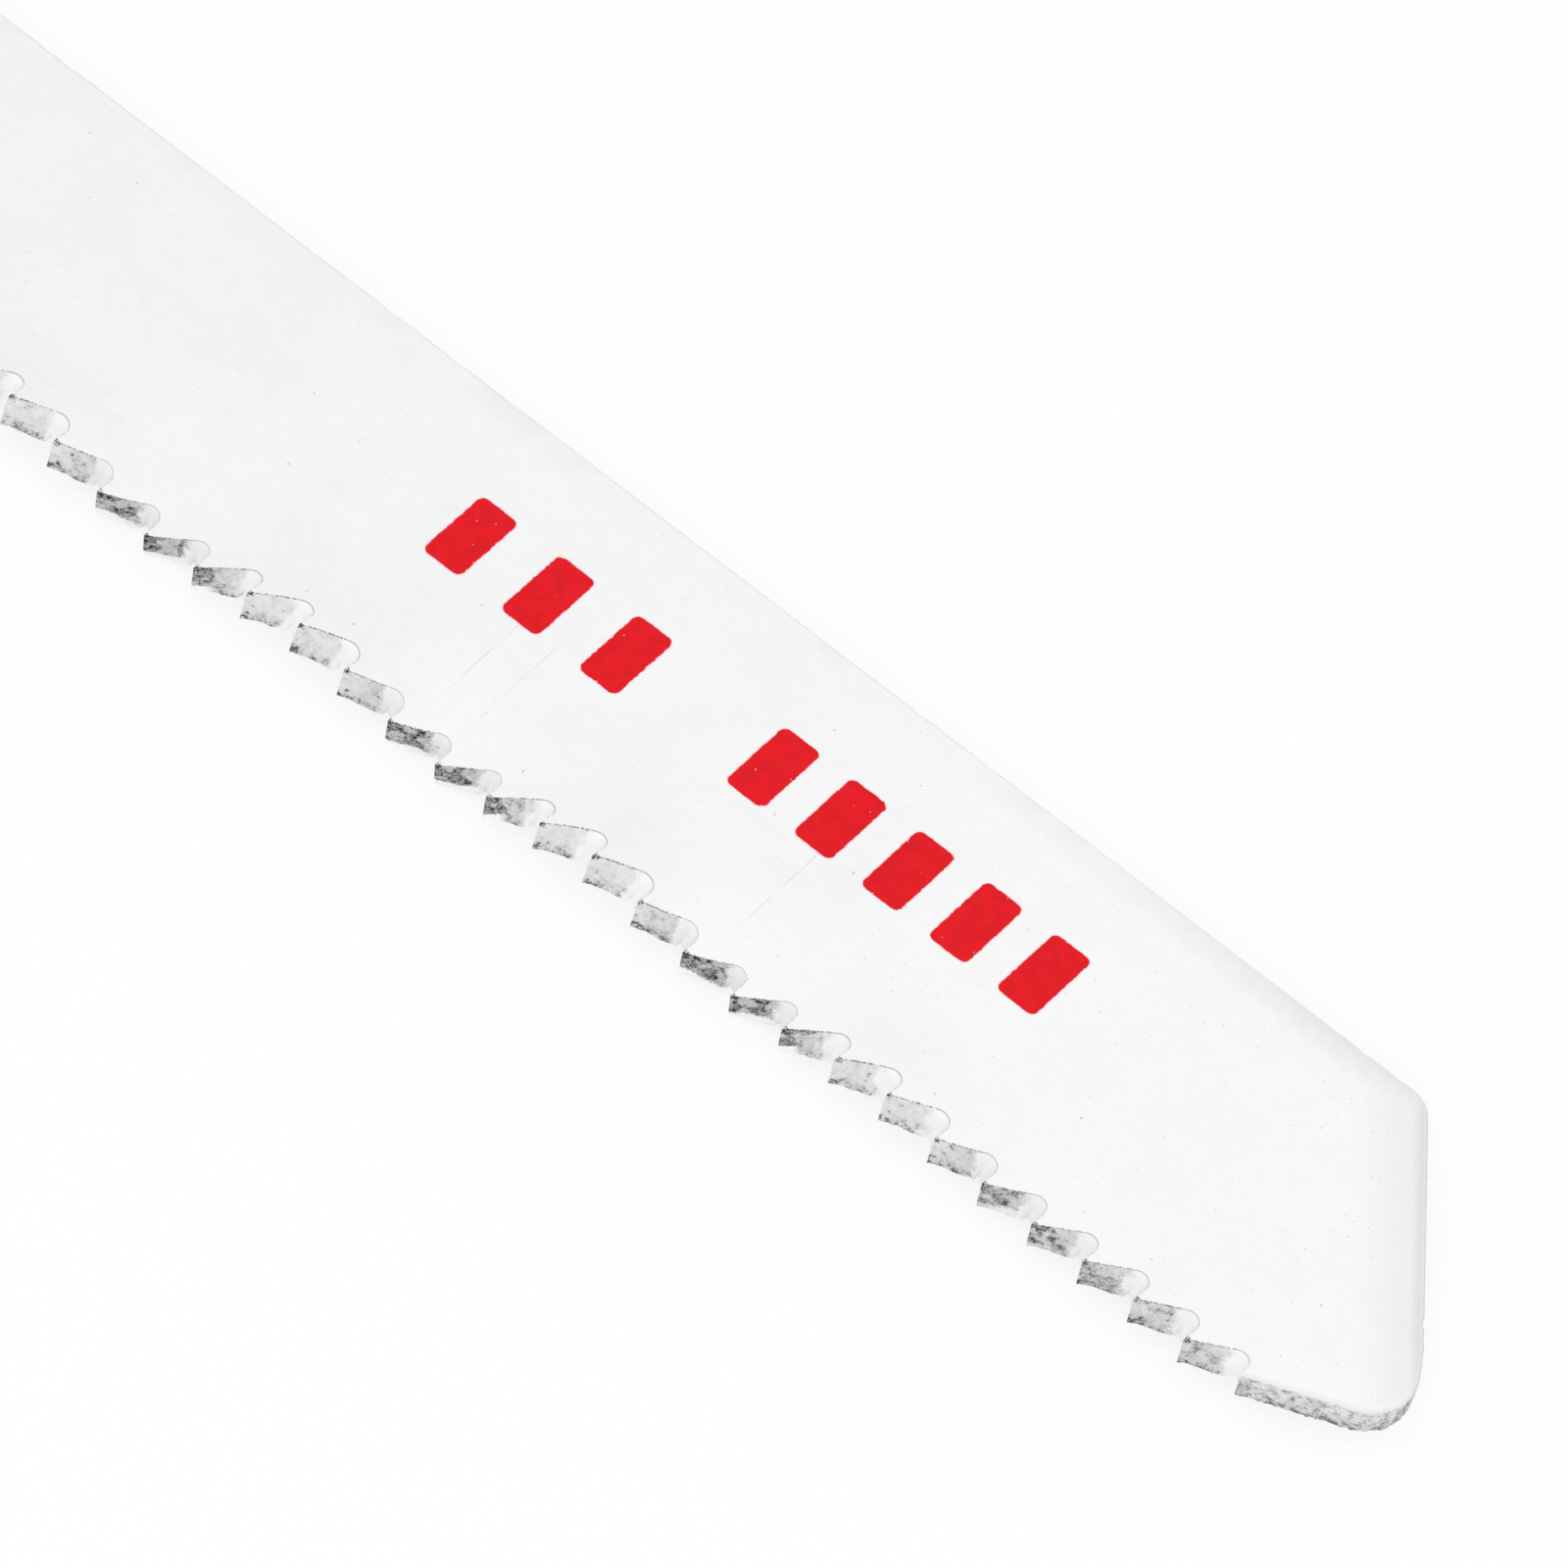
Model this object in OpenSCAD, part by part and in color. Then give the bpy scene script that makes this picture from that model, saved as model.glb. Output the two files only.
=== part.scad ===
// Jigsaw blade for metal with a bayonet shank and fine wavy-set teeth.
// X runs along the blade to the tip, the teeth point to -Y and the printed face is up.
// The origin is on the lower face, on the shank's centre line, level with the lugs' front shoulders.

/* [Blade] */
// Overall length, from the end of the shank to the tip
overall_length = 92; // [75:1:150]
// Thickness of the strip steel
thickness = 0.85; // [0.6:0.05:1.5]
// Width at the last tooth, from the back edge to the tooth tips
tip_width = 8.05; // [7.5:0.05:12]
// Angle at which the tooth line spreads away from the back edge, towards the tip
tooth_line_spread = 0.73; // [0:0.01:0.9]
// Distance of the back edge from the shank's centre line
back_height = 3.75; // [3.4:0.05:5]

/* [Shank] */
// Width of the tang and the neck
shank_width = 6.4; // [5:0.1:6.5]
// Length of the tang behind the lugs
tang_length = 8.5; // [6:0.1:12]
// Radius of the tang's end corners
tang_round = 2.2; // [0.3:0.1:2.4]
// Width over both lugs
lug_span = 11; // [9:0.1:13]
// Length of a lug along the blade
lug_length = 3; // [2:0.1:5]
// Radius of the lugs' outer corners
lug_round = 0.6; // [0.1:0.05:0.9]
// Radius in the corners where lugs and shoulders meet the neck
root_round = 0.5; // [0.1:0.05:0.8]
// Length of the neck in front of the lugs
neck_length = 8.5; // [5:0.1:12]
// Length of the shoulders that lead from the neck to the full width
shoulder_length = 2; // [1:0.1:4]

/* [Nose] */
// Angle of the slanted end, measured from square to the back edge
end_slant = 37; // [15:1:45]
// Radius of the corner between the slanted end and the back edge
back_corner_round = 0.75; // [0.2:0.05:2]
// Radius of the corner on the tooth side
nose_round = 1.05; // [0.5:0.05:1.4]
// Slope of the plain lead edge in front of the teeth
lead_slope = 25; // [10:1:32]
// Length from the tip back to the cutting face that ends the tooth row
lead_length = 2.75; // [2:0.05:5]
// Height at which the lead edge starts, above the line of the tooth tips
lead_rise = 0.24; // [0.05:0.01:0.3]

/* [Teeth] */
// Distance from one tooth tip to the next
pitch = 1.3; // [1.1:0.05:1.6]
// Slope of the clearance face behind each tip
clearance_angle = 32; // [26:1:36]
// Lean of the cutting face, where 0 is square to the tooth line
rake_angle = 4; // [0:1:6]
// Radius at the bottom of each gap
gullet_round = 0.26; // [0.18:0.01:0.3]
// Length of the plain heel between the shoulder and the tooth row
heel_length = 3.5; // [1:0.1:12]

/* [Wavy set] */
// Largest angle by which the tooth row is bent to each side
set_angle = 10.5; // [0:0.5:14]
// Number of teeth in one whole wave
teeth_per_wave = 6; // [4:1:12]
// Depth of the bend's middle above the tooth tips
bend_depth = 2; // [1.6:0.1:2.6]
// Half width of the band that bends
bend_band = 0.8; // [0.3:0.1:0.9]
// Length over which the wave dies out towards the tip
tip_fade = 13; // [4:0.5:25]
// Length over which the wave grows from the heel
heel_fade = 5; // [2:0.5:15]

/* [Hidden] */

// Straight pieces in each rounded corner of the outline and in each gap's round
corner_steps = 8;
gullet_steps = 5;
// How far the toothed strip reaches into the plain plate
lap = 0.4;
// Least steel between a gap's bottom and the band that bends
root_margin = 0.15;

tip_x = overall_length - tang_length - lug_length;
lead_x = tip_x - lead_length;
body_x = neck_length + shoulder_length;
gap_count = floor((lead_x - body_x - heel_length) / pitch);
row_x = lead_x - gap_count * pitch;
last_tip_x = lead_x - pitch;

// Line of the tooth tips, and a point at height v above it
function tooth_line(x) = back_height - tip_width + (last_tip_x - x) * tan(tooth_line_spread);
function above_line(x, v) = [x, tooth_line(x) + v];

// Gap between two teeth: an arc that touches the clearance face and the next cutting face
gap_v = (pitch * sin(clearance_angle) - gullet_round * (1 + sin(clearance_angle) / cos(rake_angle)))
    / (cos(clearance_angle) - sin(clearance_angle) * tan(rake_angle));
gap_u = pitch + (gap_v * sin(rake_angle) - gullet_round) / cos(rake_angle);
gap_turn = 90 + clearance_angle + rake_angle;
gap_depth = gap_v + gullet_round;

function gap_point(i) =
    let (a = 90 + clearance_angle - gap_turn * i / gullet_steps)
    [gap_u + gullet_round * cos(a), gap_v + gullet_round * sin(a)];

gap_start = gap_point(0);
gap_end = gap_point(gullet_steps);

// The set: the strip below the bending band leans by an angle that follows a fading wave
full_bend_v = max(bend_depth - bend_band, gap_depth + root_margin);
flat_v = 2 * bend_depth - full_bend_v;

function limited(value) = min(max(value, 0), 1);
function fade(x) = limited((last_tip_x - x) / tip_fade) * limited((x - row_x - gap_start[0]) / heel_fade);
function lean(x) = set_angle * fade(x) * cos(360 * (last_tip_x - x) / (teeth_per_wave * pitch));

// Place of a point of the strip: side is 1 on the upper face and -1 on the lower face
function flat_place(x, v, side) = [x, tooth_line(x) + v, thickness / 2 * (1 + side)];
function bent_place(x, v, side) =
    let (a = lean(x), arm = bend_depth - v)
    [
        x,
        tooth_line(x) + bend_depth - arm * cos(a) + side * thickness / 2 * sin(a),
        thickness / 2 + arm * sin(a) + side * thickness / 2 * cos(a)
    ];

// Outline with rounded corners, from a list of [x, y, radius]. A radius is limited by its two edges.
function turned(v) = [-v[1], v[0]];
function unit(v) = v / norm(v);
function corner_arc(before, here, after, radius) =
    let (
        to_before = unit(before - here),
        to_after = unit(after - here),
        turn = 180 - acos(to_before * to_after),
        room = 0.48 * min(norm(before - here), norm(after - here)),
        reach = min(radius * tan(turn / 2), room),
        r = reach / tan(turn / 2),
        inward = unit(to_before + to_after),
        middle = here + inward * norm([reach, r]),
        start = here + to_before * reach - middle,
        way = sign(cross(to_after, to_before))
    )
    [
        for (i = [0 : corner_steps])
            let (a = way * turn * i / corner_steps)
            middle + start * cos(a) + turned(start) * sin(a)
    ];
function rounded(corners) =
    let (n = len(corners))
    [
        for (i = [0 : n - 1])
            let (
                c = corners[i],
                here = [c[0], c[1]],
                p = corners[(i + n - 1) % n],
                q = corners[(i + 1) % n]
            )
            each c[2] > 0
                ? corner_arc([p[0], p[1]], here, [q[0], q[1]], c[2])
                : [here]
    ];
function with_radius(point, radius) = [point[0], point[1], radius];

// Nose: the lead edge and the slanted end both touch the round of the tooth-side corner
lead_start = above_line(lead_x + lead_rise * tan(rake_angle), lead_rise);
nose_x = tip_x - nose_round;
nose_y = lead_start[1]
    + (nose_round + (nose_x - lead_start[0]) * sin(lead_slope)) / cos(lead_slope);
nose_bearing = (end_slant + lead_slope - 90) / 2;
nose_corner = [nose_x, nose_y]
    + nose_round / cos(end_slant - nose_bearing) * [cos(nose_bearing), sin(nose_bearing)];
back_corner = [nose_corner[0] - (back_height - nose_corner[1]) * tan(end_slant), back_height];

shank_half = shank_width / 2;
lug_half = lug_span / 2;
tang_x = -lug_length - tang_length;
plate_v = flat_v + lap / 2;

// The tang and both lugs on one side of the centre line, from the tang's end to the neck
function shank_side(s) = [
    [tang_x, s * shank_half, tang_round],
    [-lug_length, s * shank_half, root_round],
    [-lug_length, s * lug_half, lug_round],
    [0, s * lug_half, lug_round],
    [0, s * shank_half, root_round],
    [neck_length, s * shank_half, root_round]
];
function reversed(list) = [for (i = [len(list) - 1 : -1 : 0]) list[i]];

plate_corners = concat(
    shank_side(-1),
    [
        with_radius(above_line(body_x, 0), root_round),
        with_radius(above_line(row_x, 0), 0),
        with_radius(above_line(row_x + gap_start[0], gap_start[1]), 0),
        with_radius(above_line(row_x + gap_start[0], plate_v), 0),
        with_radius(above_line(last_tip_x + gap_end[0], plate_v), 0),
        with_radius(above_line(last_tip_x + gap_end[0], gap_end[1]), 0),
        with_radius(lead_start, 0),
        with_radius(nose_corner, nose_round),
        with_radius(back_corner, back_corner_round),
        [body_x, back_height, root_round]
    ],
    reversed(shank_side(1))
);

// Toothed strip: one cross-section for each point of the tooth outline.
// Each entry holds the outline point and the X at which the rows above it are taken.
// The two shares place those rows within a pitch, level with the tip and with the gap's start.
tip_share = 0.12;
gap_share = 0.55;
function gap_row_x(g, i) = row_x + (g + gap_share + (1 - gap_share) * i / gullet_steps) * pitch;
outline_stations = concat(
    [[[row_x + gap_start[0] - lap, gap_start[1] + lap], row_x + gap_start[0] - lap]],
    [
        for (g = [0 : gap_count - 1])
            each concat(
                g == 0 ? [] : [[[row_x + g * pitch, 0], row_x + (g + tip_share) * pitch]],
                [
                    for (i = [0 : gullet_steps])
                        [[row_x + g * pitch + gap_point(i)[0], gap_point(i)[1]], gap_row_x(g, i)]
                ]
            )
    ],
    [[[last_tip_x + gap_end[0] + lap, gap_end[1] + lap], last_tip_x + gap_end[0] + lap]]
);

function section(station) =
    let (p = station[0], x = station[1])
    [
        flat_place(x, flat_v + lap, 1),
        flat_place(x, flat_v, 1),
        bent_place(x, full_bend_v, 1),
        bent_place(p[0], p[1], 1),
        bent_place(p[0], p[1], -1),
        bent_place(x, full_bend_v, -1),
        flat_place(x, flat_v, -1),
        flat_place(x, flat_v + lap, -1)
    ];
section_points = 8;

// Two triangles for each four-sided field of the strip's skin
function field(a, b, c, d) = [[a, c, b], [a, d, c]];
function end_fields(first) = [
    for (i = [0 : section_points / 2 - 2])
        each field(first + i, first + i + 1, first + section_points - 2 - i, first + section_points - 1 - i)
];
function flipped(faces) = [for (f = faces) reversed(f)];

module tooth_strip() {
    count = len(outline_stations);
    skin = [
        for (j = [0 : count - 2])
            for (i = [0 : section_points - 1])
                let (
                    k = (i + 1) % section_points,
                    here = j * section_points,
                    next = here + section_points
                )
                each field(here + i, here + k, next + k, next + i)
    ];
    polyhedron(
        points = [for (s = outline_stations) each section(s)],
        faces = concat(
            skin,
            flipped(end_fields(0)),
            end_fields((count - 1) * section_points)
        )
    );
}

module plate() {
    linear_extrude(thickness)
        polygon(rounded(plate_corners));
}

module blade() {
    color("whitesmoke") {
        plate();
        tooth_strip();
    }
}

blade();
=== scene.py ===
# %% [markdown]
# # A jigsaw blade for metal, in white coated steel
#
# The blade is one strip of steel, 92 mm long and 0.85 mm thick. Its teeth are bent to both
# sides in a wave. In this lesson the packed CAD model is the fixed frame, and one detailed mesh
# takes the place of its only node: smoother gaps, a smooth bend, rolled edges and small burrs.
# The colours, the print and the wear are all procedural.

import math

import bpy
from mathutils import Matrix, Vector, noise
from mathutils.geometry import delaunay_2d_cdt


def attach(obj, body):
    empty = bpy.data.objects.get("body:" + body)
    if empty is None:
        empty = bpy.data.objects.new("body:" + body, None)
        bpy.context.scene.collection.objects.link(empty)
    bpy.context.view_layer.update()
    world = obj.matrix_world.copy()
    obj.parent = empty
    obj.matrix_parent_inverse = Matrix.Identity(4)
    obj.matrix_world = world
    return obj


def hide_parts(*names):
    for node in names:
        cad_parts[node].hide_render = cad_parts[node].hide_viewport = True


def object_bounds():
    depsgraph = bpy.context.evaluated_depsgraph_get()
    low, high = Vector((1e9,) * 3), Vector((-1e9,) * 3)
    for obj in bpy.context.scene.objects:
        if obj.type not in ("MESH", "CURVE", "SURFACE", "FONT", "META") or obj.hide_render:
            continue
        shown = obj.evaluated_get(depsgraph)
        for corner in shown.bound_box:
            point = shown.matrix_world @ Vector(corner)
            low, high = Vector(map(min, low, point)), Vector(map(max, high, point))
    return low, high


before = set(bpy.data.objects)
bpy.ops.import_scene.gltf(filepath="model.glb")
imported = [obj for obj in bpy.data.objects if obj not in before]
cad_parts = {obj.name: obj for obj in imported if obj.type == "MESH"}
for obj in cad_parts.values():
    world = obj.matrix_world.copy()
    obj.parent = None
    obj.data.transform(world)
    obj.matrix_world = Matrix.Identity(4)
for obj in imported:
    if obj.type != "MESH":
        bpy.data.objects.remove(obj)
cad_low, cad_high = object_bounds()
MM = 0.001
print("CAD box in mm:", [round(v / MM, 3) for v in (*cad_low, *cad_high)])

# %% [markdown]
# ## The sizes of the blade
#
# These are the sizes of the CAD source again, in millimetres, so that the finer mesh lies on the
# solid. X runs to the tip, the teeth point to -Y, and the printed face is up.

# %% Sizes
THICKNESS = 0.85
TIP_X, BACK_Y, TIP_WIDTH = 80.5, 3.75, 8.05
PITCH, GAP_COUNT = 1.3, 49
LEAD_LENGTH = 2.75
LEAD_X = TIP_X - LEAD_LENGTH
ROW_X = LEAD_X - GAP_COUNT * PITCH
LAST_TIP_X = LEAD_X - PITCH
SPREAD = math.tan(math.radians(0.73))


def tooth_line(x):
    """Y of the line through the tooth tips."""
    return BACK_Y - TIP_WIDTH + (LAST_TIP_X - x) * SPREAD


print("tooth row from", round(ROW_X, 2), "to", round(LEAD_X, 2), "mm")

# %% [markdown]
# ## The wavy set
#
# A wavy-set blade is made by pressing the finished tooth row between two wavy tools, so that the
# teeth lean to one side, then to the other. The cut gets wider than the strip, and the blade
# doesn't jam. A Simple Deform modifier can't follow such a wave, and a shape key would have to be
# made by hand. Here each point is made flat first and then placed by one function: it leans by an
# angle that follows a cosine, and the band above the teeth bends as a true arc. The wave grows
# from the first gap on and dies out towards the tip.

# %% Bend a flat point into its place
SET_ANGLE = math.radians(10.5)
TEETH_PER_WAVE = 6
FULL_BEND_V, FLAT_V = 1.2, 2.8
TIP_FADE, HEEL_FADE, HEEL_START = 13.0, 5.0, 0.927
STRAIGHT = 1e-5


def limited(value):
    """The value, kept between 0 and 1."""
    return min(max(value, 0.0), 1.0)


def smooth(value):
    """A soft step from 0 to 1."""
    value = limited(value)
    return value * value * (3 - 2 * value)


def lean(x):
    """Angle of the tooth row at x. Positive leans to the printed face."""
    fade = limited((LAST_TIP_X - x) / TIP_FADE) * limited((x - ROW_X - HEEL_START) / HEEL_FADE)
    return SET_ANGLE * fade * math.cos(2 * math.pi * (LAST_TIP_X - x) / (TEETH_PER_WAVE * PITCH))


def place(x, y, depth):
    """A point of the flat blade, depth below its upper face, set in its bent place in metres."""
    base = tooth_line(x)
    v = y - base
    up = THICKNESS / 2 - depth
    a = lean(x) if v < FLAT_V else 0.0
    if abs(a) < STRAIGHT:
        return Vector((x, y, THICKNESS / 2 + up)) * MM
    band = (FLAT_V - FULL_BEND_V) / 2
    radius = band / math.tan(a / 2)
    turn = a * limited((FLAT_V - v) / (2 * band))
    down = radius * math.sin(turn)
    lift = radius * (1 - math.cos(turn))
    beyond = max(FULL_BEND_V - v, 0.0)
    down += beyond * math.cos(turn)
    lift += beyond * math.sin(turn)
    return Vector((
        x,
        base + FLAT_V - down + up * math.sin(turn),
        THICKNESS / 2 + lift + up * math.cos(turn),
    )) * MM


row_middle = (ROW_X + LEAD_X) / 2
wave = [lean(row_middle + i * PITCH) for i in range(TEETH_PER_WAVE)]
print("lean over one wave in degrees:", [round(math.degrees(a), 1) for a in wave])

# %% [markdown]
# ## The outline
#
# The blade is stamped, so one outline describes it: the bayonet shank, the heel, the teeth, the
# plain lead edge, the round nose and the slanted end. A curve object could hold it, but a list of
# points lets each point say how far its edge is rolled over. Rounded corners are arcs that touch
# both of their edges. Long runs get many points, so that small nicks can be worked into them.

# %% Corners and runs
CORNER_STEPS = 10
MOST_OF_EDGE = 0.48


def corner(before, here, after, radius):
    """Points of an arc that rounds the corner at here."""
    before, here, after = Vector(before), Vector(here), Vector(after)
    to_before, to_after = (before - here).normalized(), (after - here).normalized()
    turn = math.pi - to_before.angle(to_after)
    room = MOST_OF_EDGE * min((before - here).length, (after - here).length)
    reach = min(radius * math.tan(turn / 2), room)
    r = reach / math.tan(turn / 2)
    middle = here + (to_before + to_after).normalized() * math.hypot(reach, r)
    start = here + to_before * reach - middle
    way = 1 if to_after.cross(to_before) > 0 else -1
    turns = [way * turn * i / CORNER_STEPS for i in range(CORNER_STEPS + 1)]
    return [middle + Matrix.Rotation(a, 2) @ start for a in turns]


def run(points, step):
    """The same polyline with extra points, so that none of its pieces is longer than step."""
    out = []
    for here, after in zip(points, points[1:]):
        parts = max(1, math.ceil((after - here).length / step))
        out += [here.lerp(after, i / parts) for i in range(parts)]
    return out + [points[-1]]


def rounded_run(corners, step):
    """An open polyline through (x, y, radius) corners. Its two end points stay as they are."""
    flat = [Vector(c[:2]) for c in corners]
    out = [flat[0]]
    for i in range(1, len(corners) - 1):
        radius = corners[i][2]
        out += corner(*flat[i - 1 : i + 2], radius) if radius else [flat[i]]
    return run(out + [flat[-1]], step)


trial = corner((0, 0), (4, 0), (4, 4), 1.0)
print("a corner at x 4 with radius 1 has", len(trial), "points, from x", round(trial[0].x, 2))

# %% The tooth gap
CLEARANCE, RAKE, GULLET = math.radians(32), math.radians(4), 0.26
GULLET_STEPS = 12
CLEARANCE_STEP, CUTTING_STEP = 0.11, 0.12
gap_v = (PITCH * math.sin(CLEARANCE) - GULLET * (1 + math.sin(CLEARANCE) / math.cos(RAKE))) / (
    math.cos(CLEARANCE) - math.sin(CLEARANCE) * math.tan(RAKE)
)
gap_u = PITCH + (gap_v * math.sin(RAKE) - GULLET) / math.cos(RAKE)


def gap_outline():
    """One gap as (u, v) from a tip: clearance face, arc, cutting face, without the next tip."""
    turn = math.pi / 2 + CLEARANCE + RAKE
    arc = []
    for i in range(GULLET_STEPS + 1):
        a = math.pi / 2 + CLEARANCE - turn * i / GULLET_STEPS
        arc.append(Vector((gap_u + GULLET * math.cos(a), gap_v + GULLET * math.sin(a))))
    clearance_face = run([Vector((0, 0)), arc[0]], CLEARANCE_STEP)
    cutting_face = run([arc[-1], Vector((PITCH, 0))], CUTTING_STEP)
    return clearance_face[:-1] + arc + cutting_face[1:-1]


gap = gap_outline()
print("points in a gap:", len(gap), "depth", round(gap_v + GULLET, 3), "mm")

# %% Where the nose is
LEAD_SLOPE, END_SLANT = math.radians(25), math.radians(37)
NOSE_ROUND, BACK_CORNER_ROUND = 1.05, 0.75
LEAD_RISE = 0.24
lead_at = Vector((LEAD_X + LEAD_RISE * math.tan(RAKE), 0))
lead_at.y = tooth_line(lead_at.x) + LEAD_RISE
nose_middle = Vector((TIP_X - NOSE_ROUND, 0))
nose_middle.y = lead_at.y + (
    NOSE_ROUND + (nose_middle.x - lead_at.x) * math.sin(LEAD_SLOPE)
) / math.cos(LEAD_SLOPE)
bearing = (END_SLANT + LEAD_SLOPE - math.pi / 2) / 2
nose_tip = nose_middle + NOSE_ROUND / math.cos(END_SLANT - bearing) * Vector(
    (math.cos(bearing), math.sin(bearing))
)
back_tip = Vector((nose_tip.x - (BACK_Y - nose_tip.y) * math.tan(END_SLANT), BACK_Y))
print("nose corners at", [(round(p.x, 2), round(p.y, 2)) for p in (lead_at, nose_tip, back_tip)])

# %% The shank
TANG_X, LUG_X, NECK_X, BODY_X = -11.5, -3.0, 8.5, 10.5
SHANK_HALF, LUG_HALF = 3.2, 5.5
TANG_ROUND, LUG_ROUND, ROOT_ROUND = 2.2, 0.6, 0.5


def shank_side(s):
    """Tang, lug and neck on one side of the centre line, from the tang's end to the neck."""
    return [
        (TANG_X, s * SHANK_HALF, TANG_ROUND),
        (LUG_X, s * SHANK_HALF, ROOT_ROUND),
        (LUG_X, s * LUG_HALF, LUG_ROUND),
        (0, s * LUG_HALF, LUG_ROUND),
        (0, s * SHANK_HALF, ROOT_ROUND),
        (NECK_X, s * SHANK_HALF, ROOT_ROUND),
    ]


print("shank from", TANG_X, "to", NECK_X, "mm, with lugs", 2 * LUG_HALF, "mm across")

# %% The whole outline
PLAIN_STEP, NOSE_STEP, NOSE_REACH = 0.3, 0.06, 3
back_start = (back_tip.x - NOSE_REACH, BACK_Y, 0)
tang_end = (TANG_X, 0, 0)
heel = [(BODY_X, tooth_line(BODY_X), ROOT_ROUND), (ROW_X, tooth_line(ROW_X), 0)]
lower_shank = rounded_run([tang_end, *shank_side(-1), *heel], PLAIN_STEP)
teeth = []
for g in range(GAP_COUNT):
    for u, v in gap:
        # The last cutting face ends where the lead edge starts
        if g == GAP_COUNT - 1 and u > 1 and v < LEAD_RISE + 0.03:
            continue
        x = ROW_X + g * PITCH + u
        teeth.append(Vector((x, tooth_line(x) + v)))
nose_corners = [(*lead_at, 0), (*nose_tip, NOSE_ROUND), (*back_tip, BACK_CORNER_ROUND), back_start]
nose = rounded_run(nose_corners, NOSE_STEP)
back_corners = [back_start, (BODY_X, BACK_Y, ROOT_ROUND), *reversed(shank_side(1)), tang_end]
upper_shank = rounded_run(back_corners, PLAIN_STEP)
outline = lower_shank[:-1] + teeth + nose[:-1] + upper_shank[:-1]
TEETH_FROM = len(lower_shank) - 1
NOSE_FROM = TEETH_FROM + len(teeth)
BACK_FROM = NOSE_FROM + len(nose) - 1
count = len(outline)
print("outline points:", count)

# %% [markdown]
# ## Rolled edges, nicks and burrs
#
# Stamping rolls one edge of the sheet over a little and leaves a sharp, slightly torn edge on the
# other face. A Bevel modifier with one width would also soften the teeth. So the rings round the
# outline are made in code: each outline point has its own roll, almost nothing on the teeth and a
# tenth of a millimetre on the back edge, where the lacquer also gathers. The cutter that milled
# the gaps left a little more steel at the lower face, which makes a small web beside each tooth.
# At a sharp tip the roll and the tears are kept small, because a ring would cross itself there.

# %% The way inwards at each outline point
# Cosine of half the sharpest turn that is followed in full, so that a tip's step stays short
SHARPEST = 0.70
inward = []
for k in range(count):
    before, here, after = outline[k - 1], outline[k], outline[(k + 1) % count]
    a, b = (here - before).normalized(), (after - here).normalized()
    mean = (Vector((-a.y, a.x)) + Vector((-b.y, b.x))).normalized()
    stretch = 1 / max(mean.dot(Vector((-b.y, b.x))), SHARPEST)
    inward.append(mean * stretch)
print("longest step inwards:", round(max(step.length for step in inward), 2))

# %% Rolled edge and gathered lacquer
BACK_ROLL, LEAD_ROLL, SHARP = 0.11, 0.08, 0.022
COAT_BUILD = 0.07


def roll_at(k):
    """Radius of the rolled upper edge at an outline point."""
    if TEETH_FROM <= k < NOSE_FROM:
        return SHARP
    p = outline[k]
    if k < TEETH_FROM:
        return SHARP + (BACK_ROLL - SHARP) * smooth((ROW_X - p.x) / 1.1)
    way = (p - lead_at).length
    full = LEAD_ROLL + (BACK_ROLL - LEAD_ROLL) * smooth((way - 1.6) / 1.8)
    return SHARP + (full - SHARP) * smooth(way / 0.8)


def coat_at(k):
    """Thickness of the lacquer that gathers on the back edge and the slanted end."""
    p = outline[k]
    if k < NOSE_FROM:
        return 0.0
    if k < BACK_FROM:
        return COAT_BUILD * smooth((p.y - nose_middle.y - 0.25) / 1.0)
    return COAT_BUILD * smooth((p.x - BODY_X - 1.0) / 4.0)


roll = [roll_at(k) for k in range(count)]
coat = [coat_at(k) for k in range(count)]
print("widest roll:", round(max(roll), 3), "mm, thickest lacquer:", max(coat), "mm")

# %% Web beside each tooth
WEB, SHALLOWER = Vector((-0.20, -0.11)), 0.12


def in_pitch(p):
    """Place of a point of the tooth row as (u, v) from the tip before it."""
    return (p.x - ROW_X) % PITCH, p.y - tooth_line(p.x)


def web_at(k):
    """How far a gap's outline lies off its place at the lower face: a shallower, narrower gap."""
    p = outline[k]
    if TEETH_FROM <= k < NOSE_FROM:
        u, v = in_pitch(p)
        front = smooth((u - 0.80) / 0.35) * smooth(v / 0.30)
        front *= 1 - 0.6 * smooth((p.x - LEAD_X + 0.5) / 0.4)
        behind = smooth((u - 0.1) / 0.7) * (1 - front) if u < 1.05 else 0
        return WEB * front - inward[k] * SHALLOWER * behind
    if NOSE_FROM <= k < BACK_FROM:
        return WEB * 0.4 * (1 - smooth((p - lead_at).length / 0.6))
    return Vector((0, 0))


web = [web_at(k) for k in range(count)]
print("widest web:", round(max(w.length for w in web), 2), "mm")

# %% Ground edges and spared tips
def ground_at(k):
    """1 where the edge was ground after coating: the teeth, the lead edge and the nose's round."""
    if TEETH_FROM <= k < NOSE_FROM:
        return 1.0
    p = outline[k]
    if NOSE_FROM <= k < BACK_FROM:
        return 1 - smooth((p.y - nose_middle.y - 0.15) / 0.9)
    return 0.0


def spared_at(k):
    """Share of an edge's round and tears that is made: less at a sharp tip, which would fold over."""
    p = outline[k]
    if k < TEETH_FROM or k >= BACK_FROM:
        return 1.0
    to_tip = (p - lead_at).length
    if k < NOSE_FROM:
        u, v = in_pitch(p)
        to_tip = min(to_tip, math.hypot(u, v), math.hypot(u - PITCH, v))
    return 0.35 + 0.65 * smooth(to_tip / 0.32)


ground = [ground_at(k) for k in range(count)]
spared = [spared_at(k) for k in range(count)]
print("ground points:", sum(g > 0.5 for g in ground), "of", count)

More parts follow.
